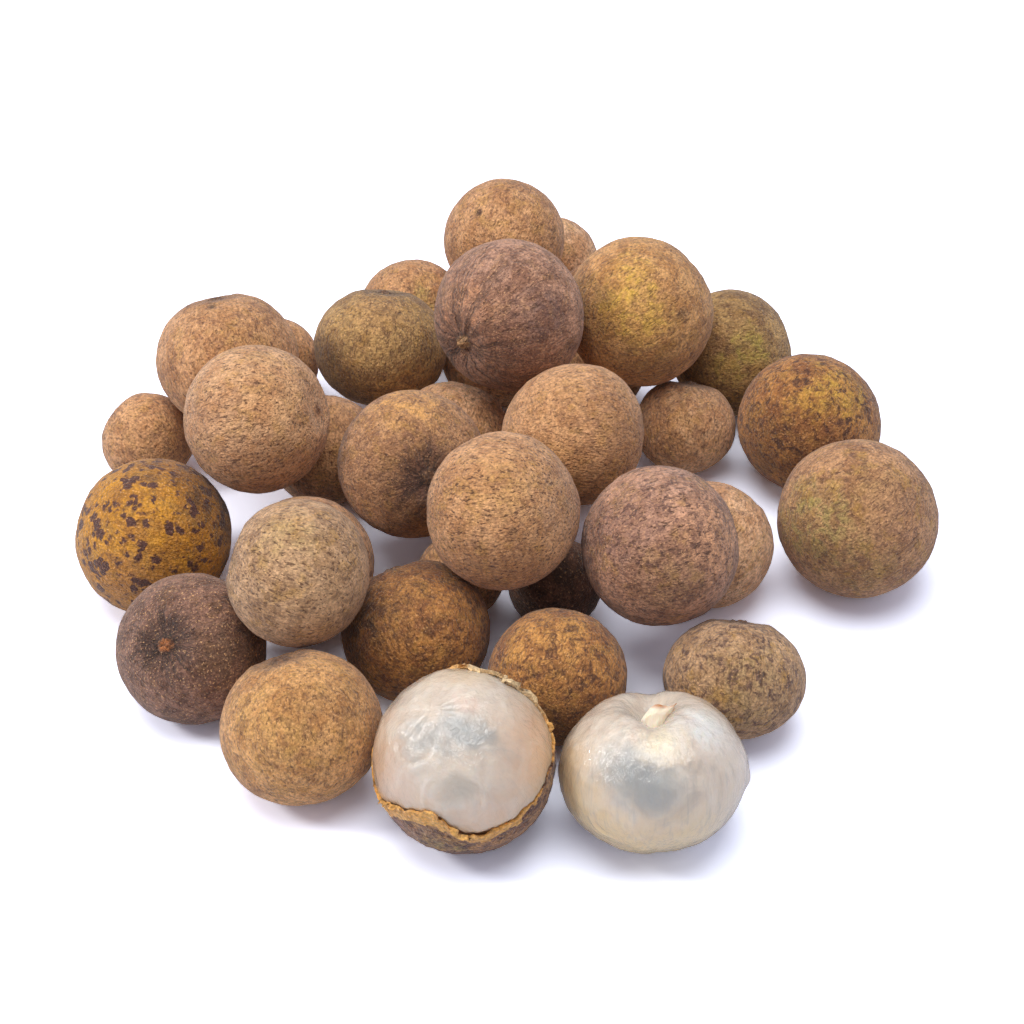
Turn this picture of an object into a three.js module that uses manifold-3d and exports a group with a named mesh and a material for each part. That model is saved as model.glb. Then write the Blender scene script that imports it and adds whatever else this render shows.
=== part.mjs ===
// A heaped bunch of longans: whole fruits in two layers, and at the front one fruit with its peel
// torn open and one that is fully peeled. Millimetres, +Z up. The bunch lies on the plane z = 0,
// its front faces -Y, and the origin is under the middle of its outline.
import * as THREE from 'three';
import { mergeVertices } from 'three/addons/utils/BufferGeometryUtils.js';
import Module from 'manifold-3d';

const wasm = await Module();
wasm.setup();

// How the fruits lie
const CLEARANCE = 0.3; // left between two fruits that touch
const REST_SINK = 0.2; // depth of the small flat spot where a fruit bears on the surface
const DROP_FROM = 60; // height from which each fruit is let down onto those under it
const DROP_STEP = 0.02;
const NEAR = 0.6; // fruits further apart than this share of their two widths can't touch

// Skin of a whole fruit
const SIDES = 14;
const SHOULDER_ANGLES = [32, 52, 71, 90, 109, 128, 148, 166]; // rings, in degrees from the stem end
const PIT_RADIUS = 3.4; // dimple round the stem scar
const PIT_DEPTH = 0.8;
const NUB_RADIUS = 1.1; // woody stub left in the dimple
const NUB_RISE = 0.6;
const LUMP = 0.025; // depth of the soft unevenness, as a share of the radius

// Peel, flesh, seed and stalk tissue of the two opened fruits
const PEEL_THICKNESS = 0.6;
const SEED_RADIUS = 6.6;
const CHANNEL_RADIUS = 1.7; // way through the flesh from the stem end to the seed
const TISSUE_RADIUS = 1.2;
const TISSUE_STAND = 2.2; // how far the tissue stands out of the notch in the peeled flesh
const FLESH_SIDES = 20;
const FLESH_ANGLES = [172, 155, 137, 119, 101, 84, 68, 54, 42, 31, 22, 14]; // rings from the stem end
const HOLLOW_RINGS = 7;
const SEED_SIDES = 14;
const SEED_RINGS = 9;
const TISSUE_SIDES = 8;
const PEEL_RINGS = 8;
const PEEL_SIDES = 40;

const SKIN = {
  tan: 0xa67c52,
  brown: 0x8a6240,
  rosy: 0x7d5344,
  dark: 0x5a4034,
  ochre: 0xa67a35,
  olive: 0x8b743c,
  rust: 0x8d5a2c,
  grey: 0x96795a,
};

// Finish of the opened fruits' pieces
const PEEL = { color: 0x8b6034, roughness: 0.8 };
const FLESH = { color: 0xd8d1c4, roughness: 0.2 };
const SEED = { color: 0x1d1512, roughness: 0.25 };
const TISSUE = { color: 0xe6d6ae, roughness: 0.6 };

// Whole fruits, in the order in which they are laid, those on the surface first.
// x and y: place of the middle; width: across the stem axis; tall: height along it as a share of
// the width; stem: azimuth and elevation of the stem end; egg: how much narrower that end is.
const FRUITS = [
  { name: 'fruit_01', x: 8.5, y: 69.5, width: 19, tall: 0.98, stem: [100, 10], skin: 'brown' },
  { name: 'fruit_02', x: 17.5, y: 53, width: 19, tall: 0.97, stem: [20, 25], skin: 'tan' },
  { name: 'fruit_03', x: -20, y: 50, width: 21.5, tall: 0.97, stem: [110, 25], skin: 'olive' },
  { name: 'fruit_04', x: -3, y: 35.5, width: 22.5, tall: 0.97, stem: [150, 30], skin: 'tan' },
  { name: 'fruit_05', x: 17.5, y: 34, width: 17.5, tall: 0.98, stem: [50, 10], skin: 'brown' },
  { name: 'fruit_06', x: 42.5, y: 34, width: 25, tall: 0.94, stem: [12, 10], skin: 'ochre' },
  { name: 'fruit_07', x: -46.5, y: 34.5, width: 18.5, tall: 0.97, stem: [130, 20], skin: 'tan' },
  { name: 'fruit_08', x: 32.5, y: 14, width: 19.5, tall: 0.95, stem: [75, 55], skin: 'brown' },
  { name: 'fruit_09', x: 55, y: 10, width: 27, tall: 0.97, stem: [60, 25], skin: 'rust' },
  { name: 'fruit_10', x: -68, y: 11, width: 18, tall: 0.97, stem: [150, 20], skin: 'tan' },
  { name: 'fruit_11', x: -34.5, y: 5, width: 21.5, tall: 0.97, stem: [100, 20], skin: 'brown' },
  { name: 'fruit_12', x: -11, y: 8, width: 22.5, tall: 0.98, stem: [70, 35], skin: 'ochre' },
  { name: 'fruit_13', x: 12.5, y: 7.5, width: 23, tall: 0.97, stem: [40, -10], skin: 'tan' },
  { name: 'fruit_14', x: -0.5, y: -10.5, width: 17.5, tall: 0.98, stem: [120, 15], skin: 'brown' },
  { name: 'fruit_15', x: 60.5, y: -18.5, width: 29, tall: 0.98, stem: [35, 20], skin: 'olive' },
  { name: 'fruit_16', x: 34.5, y: -22, width: 23, tall: 0.98, stem: [50, 20], skin: 'tan' },
  { name: 'fruit_17', x: -62.5, y: -22, width: 28, tall: 0.98, stem: [165, 15], skin: 'ochre' },
  { name: 'fruit_18', x: -36, y: -29, width: 25.5, tall: 0.97, stem: [140, 30], skin: 'brown' },
  { name: 'fruit_19', x: -9, y: -26.5, width: 16, tall: 0.98, stem: [100, 20], skin: 'brown' },
  { name: 'fruit_20', x: 7.5, y: -29, width: 17, tall: 0.98, stem: [80, 15], skin: 'dark' },
  { name: 'fruit_21', x: -53, y: -49.5, width: 25.5, tall: 0.96, stem: [-110, 45], skin: 'dark' },
  { name: 'fruit_22', x: -16, y: -45, width: 25.5, tall: 0.95, stem: [120, 45], skin: 'rust' },
  { name: 'fruit_23', x: 7.5, y: -55.5, width: 23.5, tall: 0.98, stem: [70, 25], skin: 'rust' },
  { name: 'fruit_24', x: 36.5, y: -55, width: 24, tall: 0.86, stem: [82, 50], skin: 'grey' },
  { name: 'fruit_25', x: -33.5, y: -68, width: 26.5, tall: 0.95, stem: [120, 55], skin: 'ochre' },
  { name: 'fruit_26', x: -25, y: 28.5, width: 26, tall: 0.9, stem: [80, 60], skin: 'olive' },
  { name: 'fruit_27', x: -1.5, y: 56.5, width: 24.5, tall: 0.99, stem: [70, 15], skin: 'tan' },
  { name: 'fruit_28', x: 23.5, y: 24, width: 28.5, tall: 0.98, stem: [30, 25], skin: 'ochre' },
  { name: 'fruit_29', x: -17.5, y: -12.5, width: 26.5, tall: 0.97, stem: [-72, 27], skin: 'rust' },
  {
    name: 'fruit_30', x: 10.5, y: -10.5, width: 25, tall: 1, stem: [10, -10], egg: -0.09, skin: 'tan',
  },
  { name: 'fruit_31', x: -52.5, y: 15.5, width: 27, tall: 0.94, stem: [110, 60], skin: 'tan' },
  { name: 'fruit_32', x: 24.5, y: -39, width: 27, tall: 0.98, stem: [15, 5], skin: 'rosy' },
  { name: 'fruit_33', x: -44.5, y: -9.5, width: 26.5, tall: 0.98, stem: [-9, 20], skin: 'tan' },
  { name: 'fruit_34', x: -34.5, y: -48.5, width: 24.5, tall: 0.96, stem: [170, 15], skin: 'grey' },
  { name: 'fruit_35', x: -1.5, y: -37, width: 26.5, tall: 0.97, stem: [165, -10], skin: 'tan' },
  { name: 'fruit_36', x: -0.5, y: 13, width: 28, tall: 0.96, stem: [-131, 4], skin: 'rosy' },
];

// The fruit with its peel torn open: the stem end is underneath, inside the cup of peel.
const OPENED = { name: 'opened', x: -7.5, y: -77.5, width: 28.4, tall: 1.06, stem: [33.7, -68.8] };
// Torn edge of the peel: angle round the cup and angle from the open end, in degrees.
const TORN_EDGE = [
  [0, 62], [25, 67], [42, 78], [58, 92], [72, 98], [93, 95], [113, 97], [132, 97], [147, 95],
  [159, 91], [167, 84], [173, 75], [181, 69], [192, 71], [206, 74], [221, 80], [240, 83],
  [260, 76], [285, 69], [310, 73], [335, 66],
];

// The fully peeled fruit: its notch, with the stalk tissue in it, is on top.
const PEELED = { name: 'peeled', x: 22, y: -77.5, width: 29.5, tall: 0.85, stem: [95, 66] };
const PEELED_NOTCH = { depth: 3, radius: 3.8 };
const OPENED_NOTCH = { depth: 1, radius: 3.2 };
const [OPENED_SEED, PEELED_SEED] = [91, 92]; // starts of their soft unevenness

const radians = THREE.MathUtils.degToRad;
const random = (seed) => () => {
  seed = (seed * 1664525 + 1013904223) % 4294967296;
  return seed / 4294967296;
};

function stemAxis([azimuth, elevation]) {
  const flat = Math.cos(radians(elevation));
  return new THREE.Vector3(
    flat * Math.cos(radians(azimuth)), flat * Math.sin(radians(azimuth)), Math.sin(radians(elevation)));
}

// How far a fruit reaches from its middle along a direction.
function reach(fruit, direction) {
  return fruit.points.reduce((most, point) => Math.max(most, point.dot(direction)), 0);
}

// Lets a fruit down at its x and y until it meets the surface or a fruit already laid.
function layDown(fruit, laid) {
  const down = new THREE.Vector3(0, 0, -1);
  const floor = reach(fruit, down) - REST_SINK;
  const centre = new THREE.Vector3(fruit.x, fruit.y, DROP_FROM);
  const meets = (other) => {
    const towards = other.centre.clone().sub(centre);
    const distance = towards.length();
    if (distance > NEAR * (fruit.width + other.width)) return false;
    towards.divideScalar(distance);
    return distance < reach(fruit, towards) + reach(other, towards.negate()) + CLEARANCE;
  };
  while (centre.z > floor && !laid.some(meets)) centre.z -= DROP_STEP;
  centre.z = centre.z <= floor ? floor : centre.z + DROP_STEP;
  return { ...fruit, centre };
}

// Merges a closed surface's shared points, drops faces without area and turns its faces outwards.
function closeSurface(geometry) {
  geometry.deleteAttribute('normal');
  geometry.deleteAttribute('uv');
  const merged = mergeVertices(geometry, 1e-3);
  const at = (i) => new THREE.Vector3().fromBufferAttribute(merged.attributes.position, i);
  const faces = [];
  let volume = 0;
  for (let i = 0; i < merged.index.count; i += 3) {
    const face = [0, 1, 2].map((k) => merged.index.getX(i + k));
    if (new Set(face).size < 3) continue;
    const [a, b, c] = face.map(at);
    volume += a.dot(b.cross(c));
    faces.push(face);
  }
  merged.setIndex(faces.flatMap((face) => (volume < 0 ? face.toReversed() : face)));
  return merged;
}

const toSolid = (geometry) => new wasm.Manifold(new wasm.Mesh({
  numProp: 3,
  vertProperties: new Float32Array(geometry.attributes.position.array),
  triVerts: new Uint32Array(geometry.index.array),
}));

function toGeometry(solid) {
  const mesh = solid.getMesh();
  const geometry = new THREE.BufferGeometry();
  geometry.setAttribute('position', new THREE.BufferAttribute(mesh.vertProperties, 3));
  geometry.setIndex(new THREE.BufferAttribute(mesh.triVerts, 1));
  return geometry;
}

// Moves every point of a geometry by a function of its place.
function reshape(geometry, place) {
  const points = geometry.attributes.position;
  for (let i = 0; i < points.count; i += 1) {
    points.setXYZ(i, ...place(new THREE.Vector3().fromBufferAttribute(points, i)).toArray());
  }
  return geometry;
}

// Soft unevenness of one fruit: a factor of 1 at most, from three waves over its surface.
function lumps(seed) {
  const next = random(seed);
  const waves = [2.2, 3.1, 4.3].map((rate) => ({
    way: new THREE.Vector3(next() - 0.5, next() - 0.5, next() - 0.5).normalize().multiplyScalar(rate),
    phase: next() * 2 * Math.PI,
  }));
  return (direction) => {
    const sum = waves.reduce((total, w) => total + Math.sin(direction.dot(w.way) + w.phase), 0);
    return 1 - (LUMP * (sum + waves.length)) / (2 * waves.length);
  };
}

// Turns a shape made round +Y so that +Y is the stem axis.
function turnToStem(geometry, fruit) {
  const turn = new THREE.Quaternion().setFromUnitVectors(
    new THREE.Vector3(0, 1, 0), stemAxis(fruit.stem));
  return closeSurface(geometry.applyQuaternion(turn));
}

// Sets a turned piece in place and cuts away what would be below the surface.
function place(geometry, centre) {
  geometry.translate(...centre.toArray());
  geometry.computeBoundingBox();
  if (geometry.boundingBox.min.z >= 0) return geometry;
  const above = new THREE.BoxGeometry(400, 400, 200).translate(0, 0, 100);
  return toGeometry(toSolid(geometry).intersect(toSolid(closeSurface(above))));
}

// Whole fruit: the woody stub in its dimple, the shoulder, and the round body.
function wholeFruit(fruit, seed) {
  const across = fruit.width / 2;
  const top = across * fruit.tall;
  const egg = fruit.egg ?? 0;
  const onBody = (angle) => new THREE.Vector2(
    across * Math.sin(angle) * (1 - egg * Math.cos(angle)), top * Math.cos(angle));
  const profile = [
    new THREE.Vector2(0, top - PIT_DEPTH + NUB_RISE),
    new THREE.Vector2(NUB_RADIUS, top - PIT_DEPTH + NUB_RISE * 0.7),
    new THREE.Vector2(NUB_RADIUS * 1.6, top - PIT_DEPTH),
    onBody(Math.asin(PIT_RADIUS / across)),
    ...SHOULDER_ANGLES.map((angle) => onBody(radians(angle))),
    new THREE.Vector2(0, -top),
  ];
  const dent = lumps(seed);
  const skin = reshape(new THREE.LatheGeometry(profile, SIDES),
    (point) => point.multiplyScalar(dent(point.clone().normalize())));
  return turnToStem(skin, fruit);
}

// Flesh: a round body with a notch at the stem end, hollow for the seed, open through the notch.
function flesh(fruit, width, notch, seed) {
  const across = width / 2;
  const top = across * fruit.tall;
  const sink = (radius) => notch.depth * Math.exp(-((radius / notch.radius) ** 2));
  const outside = FLESH_ANGLES.map((angle) => {
    const radius = across * Math.sin(radians(angle));
    const dip = angle < 90 ? sink(radius) : 0;
    return new THREE.Vector2(radius, top * Math.cos(radians(angle)) - dip);
  });
  const mouth = new THREE.Vector2(CHANNEL_RADIUS, top - sink(CHANNEL_RADIUS));
  const hollow = SEED_RADIUS + CLEARANCE;
  const start = Math.asin(CHANNEL_RADIUS / hollow);
  const inside = Array.from({ length: HOLLOW_RINGS }, (_, ring) => {
    const angle = start + (Math.PI - start) * (ring / HOLLOW_RINGS);
    return new THREE.Vector2(hollow * Math.sin(angle), hollow * Math.cos(angle));
  });
  const profile = [
    new THREE.Vector2(0, -top), ...outside, mouth, ...inside, new THREE.Vector2(0, -hollow)];
  const dent = lumps(seed);
  const body = reshape(new THREE.LatheGeometry(profile, FLESH_SIDES), (point) => {
    const isOutside = point.length() > hollow * 1.1;
    return isOutside ? point.multiplyScalar(dent(point.clone().normalize())) : point;
  });
  return turnToStem(body, fruit);
}

function seedBody(fruit) {
  return turnToStem(new THREE.SphereGeometry(SEED_RADIUS, SEED_SIDES, SEED_RINGS), fruit);
}

// Stalk tissue: a tapering strand from the seed out through the notch.
function stalkTissue(fruit, from, to) {
  const profile = [
    new THREE.Vector2(0, from),
    new THREE.Vector2(TISSUE_RADIUS * 0.8, from),
    new THREE.Vector2(TISSUE_RADIUS, (from + to) / 2),
    new THREE.Vector2(TISSUE_RADIUS * 0.9, to - 0.8),
    new THREE.Vector2(0, to),
  ];
  return turnToStem(new THREE.LatheGeometry(profile, TISSUE_SIDES), fruit);
}

// Height of the torn edge at an angle round the cup, eased between the chosen points.
function tornEdge(angle) {
  const turn = ((THREE.MathUtils.radToDeg(angle) % 360) + 360) % 360;
  const next = TORN_EDGE.findIndex(([at]) => at > turn);
  const [toAt, to] = next < 0 ? [360, TORN_EDGE[0][1]] : TORN_EDGE[next];
  const [fromAt, from] = TORN_EDGE.at(next < 0 ? -1 : next - 1);
  return radians(THREE.MathUtils.lerp(from, to, THREE.MathUtils.smoothstep(turn, fromAt, toAt)));
}

// Peel: a thin cup round the stem end, with a torn edge.
function peelCup(fruit) {
  const shell = (size) => Array.from({ length: PEEL_RINGS + 1 }, (_, ring) => {
    const angle = (Math.PI / 2) * (ring / PEEL_RINGS);
    return new THREE.Vector2(size * Math.sin(angle), size * Math.cos(angle));
  });
  const [outer, inner] = [1, 0.5];
  const profile = [...shell(outer), ...shell(inner).toReversed()];
  const cup = reshape(new THREE.LatheGeometry(profile, PEEL_SIDES), (point) => {
    const isOuter = point.length() > (outer + inner) / 2;
    const share = Math.acos(THREE.MathUtils.clamp(point.y / point.length(), -1, 1)) / (Math.PI / 2);
    const round = Math.atan2(point.x, point.z);
    const angle = share * (Math.PI - tornEdge(round));
    const across = fruit.width / 2 - (isOuter ? 0 : PEEL_THICKNESS);
    const along = (fruit.width / 2) * fruit.tall - (isOuter ? 0 : PEEL_THICKNESS);
    const radius = across * Math.sin(angle);
    return new THREE.Vector3(radius * Math.sin(round), along * Math.cos(angle), radius * Math.cos(round));
  });
  return turnToStem(cup, fruit);
}

// The pieces of each kind of fruit, round its own middle.
function wholePieces(fruit, index) {
  const geometry = wholeFruit(fruit, index + 1);
  return [{ name: fruit.name, geometry, color: SKIN[fruit.skin], roughness: 0.85 }];
}

function notchFloor(width, fruit, notch) {
  return (width / 2) * fruit.tall - notch.depth;
}

function openedPieces(fruit) {
  const width = fruit.width - 2 * (PEEL_THICKNESS + CLEARANCE);
  const body = flesh(fruit, width, OPENED_NOTCH, OPENED_SEED);
  const tissue = stalkTissue(
    fruit, SEED_RADIUS + CLEARANCE, notchFloor(width, fruit, OPENED_NOTCH));
  return [
    { name: 'opened_peel', geometry: peelCup(fruit), ...PEEL },
    { name: 'opened_flesh', geometry: body, ...FLESH },
    { name: 'opened_seed', geometry: seedBody(fruit), ...SEED },
    { name: 'opened_stalk_tissue', geometry: tissue, ...TISSUE },
  ];
}

function peeledPieces(fruit) {
  const body = flesh(fruit, fruit.width, PEELED_NOTCH, PEELED_SEED);
  const tissue = stalkTissue(fruit, SEED_RADIUS + CLEARANCE,
    notchFloor(fruit.width, fruit, PEELED_NOTCH) + TISSUE_STAND);
  return [
    { name: 'peeled_flesh', geometry: body, ...FLESH },
    { name: 'peeled_seed', geometry: seedBody(fruit), ...SEED },
    { name: 'peeled_stalk_tissue', geometry: tissue, ...TISSUE },
  ];
}

function pointsOf(geometry) {
  const { position } = geometry.attributes;
  return Array.from({ length: position.count }, (_, i) => (
    new THREE.Vector3().fromBufferAttribute(position, i)));
}

const fruits = [
  { ...OPENED, pieces: openedPieces(OPENED) },
  { ...PEELED, pieces: peeledPieces(PEELED) },
  ...FRUITS.map((fruit, index) => ({ ...fruit, pieces: wholePieces(fruit, index) })),
];

const bunch = new THREE.Group();
const laid = [];
for (const fruit of fruits) {
  const points = fruit.pieces.flatMap((piece) => pointsOf(piece.geometry));
  const resting = layDown({ ...fruit, points }, laid);
  laid.push(resting);
  for (const { name, geometry, color, roughness } of fruit.pieces) {
    const material = new THREE.MeshStandardMaterial({ color, roughness, metalness: 0 });
    const mesh = new THREE.Mesh(place(geometry, resting.centre), material);
    mesh.name = name;
    bunch.add(mesh);
  }
}

// The origin goes under the middle of the whole outline.
const middle = new THREE.Box3().setFromObject(bunch).getCenter(new THREE.Vector3());
bunch.position.set(-middle.x, -middle.y, 0);

export default bunch;
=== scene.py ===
"""Looks of a heaped bunch of longans: mottled rinds, one fruit with its peel torn open, one peeled.

Metres, +Z up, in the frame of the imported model. A fruit is shaped standing on its own middle with
its stem end up, and is then turned and moved to where its CAD node lies.
"""
import math

import bpy
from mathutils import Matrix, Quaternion, Vector, noise


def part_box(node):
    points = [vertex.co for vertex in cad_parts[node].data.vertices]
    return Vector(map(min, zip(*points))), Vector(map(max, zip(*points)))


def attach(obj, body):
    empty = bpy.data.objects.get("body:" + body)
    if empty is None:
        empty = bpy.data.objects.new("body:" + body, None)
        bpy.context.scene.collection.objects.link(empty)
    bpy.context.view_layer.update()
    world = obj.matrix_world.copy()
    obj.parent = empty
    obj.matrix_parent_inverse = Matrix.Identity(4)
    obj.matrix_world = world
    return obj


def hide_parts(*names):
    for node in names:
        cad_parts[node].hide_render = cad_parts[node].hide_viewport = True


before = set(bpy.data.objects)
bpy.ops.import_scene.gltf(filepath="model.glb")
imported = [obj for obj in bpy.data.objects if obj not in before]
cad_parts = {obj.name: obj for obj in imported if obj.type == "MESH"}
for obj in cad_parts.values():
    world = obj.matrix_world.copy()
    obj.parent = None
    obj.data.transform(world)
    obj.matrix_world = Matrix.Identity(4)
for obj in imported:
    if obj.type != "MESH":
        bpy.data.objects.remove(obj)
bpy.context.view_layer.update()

MM = 0.001
MIX_A, MIX_B, MIXED = 6, 7, 2  # a Mix node's sockets for its two colours and for what comes out

# Camera, as the photograph was taken
CAMERA_ELEVATION = math.radians(40.03)
CAMERA_DISTANCE = 422.23 * MM
CAMERA_AIM = Vector((1.11, 6.49, 0)) * MM
SENSOR_WIDTH = 36
LENS = 80
OVEREXPOSED = (1.55, 1.66, 1.95, 1)  # the card as the camera sees it, so that only deep shadow is grey
ROOM_LIGHT, ROOM_SEEN = 0.45, 1.1  # strength of the room as it lights the heap, and as the camera sees it

# Stem end of a whole fruit
PIT_REACH = 4.2 * MM  # how far the dimple round the stem scar spreads
PIT_DEPTH = 0.9 * MM
NUB_RADIUS = 1.2 * MM
NUB_RISE = 0.9 * MM
NUB_TEARS = 1400  # how fine the tears of the stub are, in noise cells per metre
PUCKER_HEIGHT = 0.32 * MM  # of the wrinkles that run to the stem end
PUCKER_REACH = 6 * MM

# Opened fruits
PEEL_THICKNESS = 0.6 * MM
PEEL_RADIUS = 14.2 * MM
SWELL = 0.06  # how far the opened flesh stands out past the torn edge, as a share of its radius
SWELL_STEP = 4  # degrees across the torn edge over which it comes to stand out
RIM_CURL = 0.55 * MM  # how far the torn edge stands off the flesh at the lower left and on the flaps
CURL_REACH = 1.5 * MM
BAND_NARROWS = 2.6  # mm less of the bare band along the torn edge on the right side
RAGGED = ((2.2, 5), (1.5, 13), (0.8, 31))  # tears of the edge: their height in degrees, and how fine
CLEFT_WIDTH, CLEFT_LENGTH = 2.2 * MM, 8 * MM  # of the crease across the peeled fruit's stem end
SEAM_HEIGHT = 0.12 * MM  # of the faint seams in the flesh
CLEARANCE = 0.3 * MM
SEED_RADIUS = 6.6 * MM
OPENED_STEM = (33.7, -68.8)
OPENED_TALL = 1.06
OPENED_WIDTH = 28.4 * MM
PEELED_STEM = (95, 66)
PEELED_TALL = 0.85
PEELED_WIDTH = 29.5 * MM

# Relief of each surface: how far apart its swellings are and how high, the coarse ones first
RIND_RELIEF = ((8 * MM, 0.5 * MM), (1.9 * MM, 0.22 * MM))
PEEL_RELIEF = ((5 * MM, 0.3 * MM), (1.4 * MM, 0.45 * MM))
FLESH_RELIEF = ((7 * MM, 0.7 * MM), (2.2 * MM, 0.22 * MM))
STRAND_RELIEF = ((0.9 * MM, 0.35 * MM),)

# Real sizes of the patterns, in mm
SLOW_TONES, MOTTLES, BLOTCHES, SPOTS, PEBBLES, DUST = 7, 2.6, 1.5, 1.8, 0.62, 0.34
SPLIT_WIDTH, SPLIT_LENGTH = 0.42, 1.2
PATCH_WAVES, PATCH_STRAY = 3.4, 12  # how fine a patch's edge wanders, and how far
OWN_PART = 4000  # takes each fruit to its own part of the patterns
MILK, MILK_STRAY = 5, 7
CREASE_WIDTH, CREASE_LENGTH = 0.8, 1.7
PITH_FIBRES, SEED_GRAIN = 0.8, 1.2

# Torn edge of the peel: angle round the cup and angle from the open end, in degrees
TORN_EDGE = [
    (0, 56), (10, 47), (22, 49), (31, 59), (36, 55), (44, 64), (50, 80), (58, 91), (72, 96), (93, 93),
    (113, 93), (132, 92), (147, 90), (159, 86), (167, 79), (173, 69), (181, 63), (192, 65), (206, 68),
    (221, 74), (240, 78), (260, 73), (285, 69), (310, 73), (335, 66),
]

# Tones of the rinds: light ground, dark ground, blotches
TAN = ("#dcaa7e", "#b8875f", "#735048")
PALE = ("#e0b288", "#c19068", "#6f5048")
# Lighter tones: painted light for fruits that lie in full light
PAINTED_LIGHT = ("#eec098", "#cc9a72", "#7c5b51")
BROWN = ("#cd9e76", "#a27655", "#60433d")
ROSY = ("#c8997e", "#946b55", "#553a38")
# Near-black tones: painted shadow for a fruit that lies deep in the heap's shade
PAINTED_SHADOW = ("#6e4c3c", "#4a3227", "#2c1d18")
DARK = ("#9c7664", "#6c4c3d", "#3f2b25")
OCHRE = ("#d0943f", "#b57d3a", "#6d442c")
GOLD = ("#e0ad77", "#bc8959", "#735140")
OLIVE = ("#c29d6a", "#97744e", "#573f36")
RUST = ("#c58d56", "#93623e", "#4a2e28")
GREY = ("#d2ab85", "#a68261", "#5f4740")
YELLOW, GREEN, PURPLE, SOOT = "#d2aa55", "#9a9054", "#6f5350", "#3a2822"

# A rind's look where a fruit says nothing else. Strengths run from 0 to 1.
PLAIN = dict(
    patches=(), gold=0.4, blotch=0.45, dust=0.5, sheen=0,
    flecks=0,  # how strong the dark splits are, from -1 for faint ones to 1
    spots=0,  # large dark spots that run together
    star="#86624a", ring=0.5,  # colour of the stem scar, and the strength of the dark ring round it
    puckers=0.5, streaks=10,  # wrinkles and streaks at the stem end, and how many mm the streaks run
    nub=0.4,  # height of the stub at the stem end, as a share of NUB_RISE
    egg=0,  # how much narrower a fruit gets towards its stem end, as a share of its width
    torn=0,  # mm of bare pith along a torn edge
    hidden=False)
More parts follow.
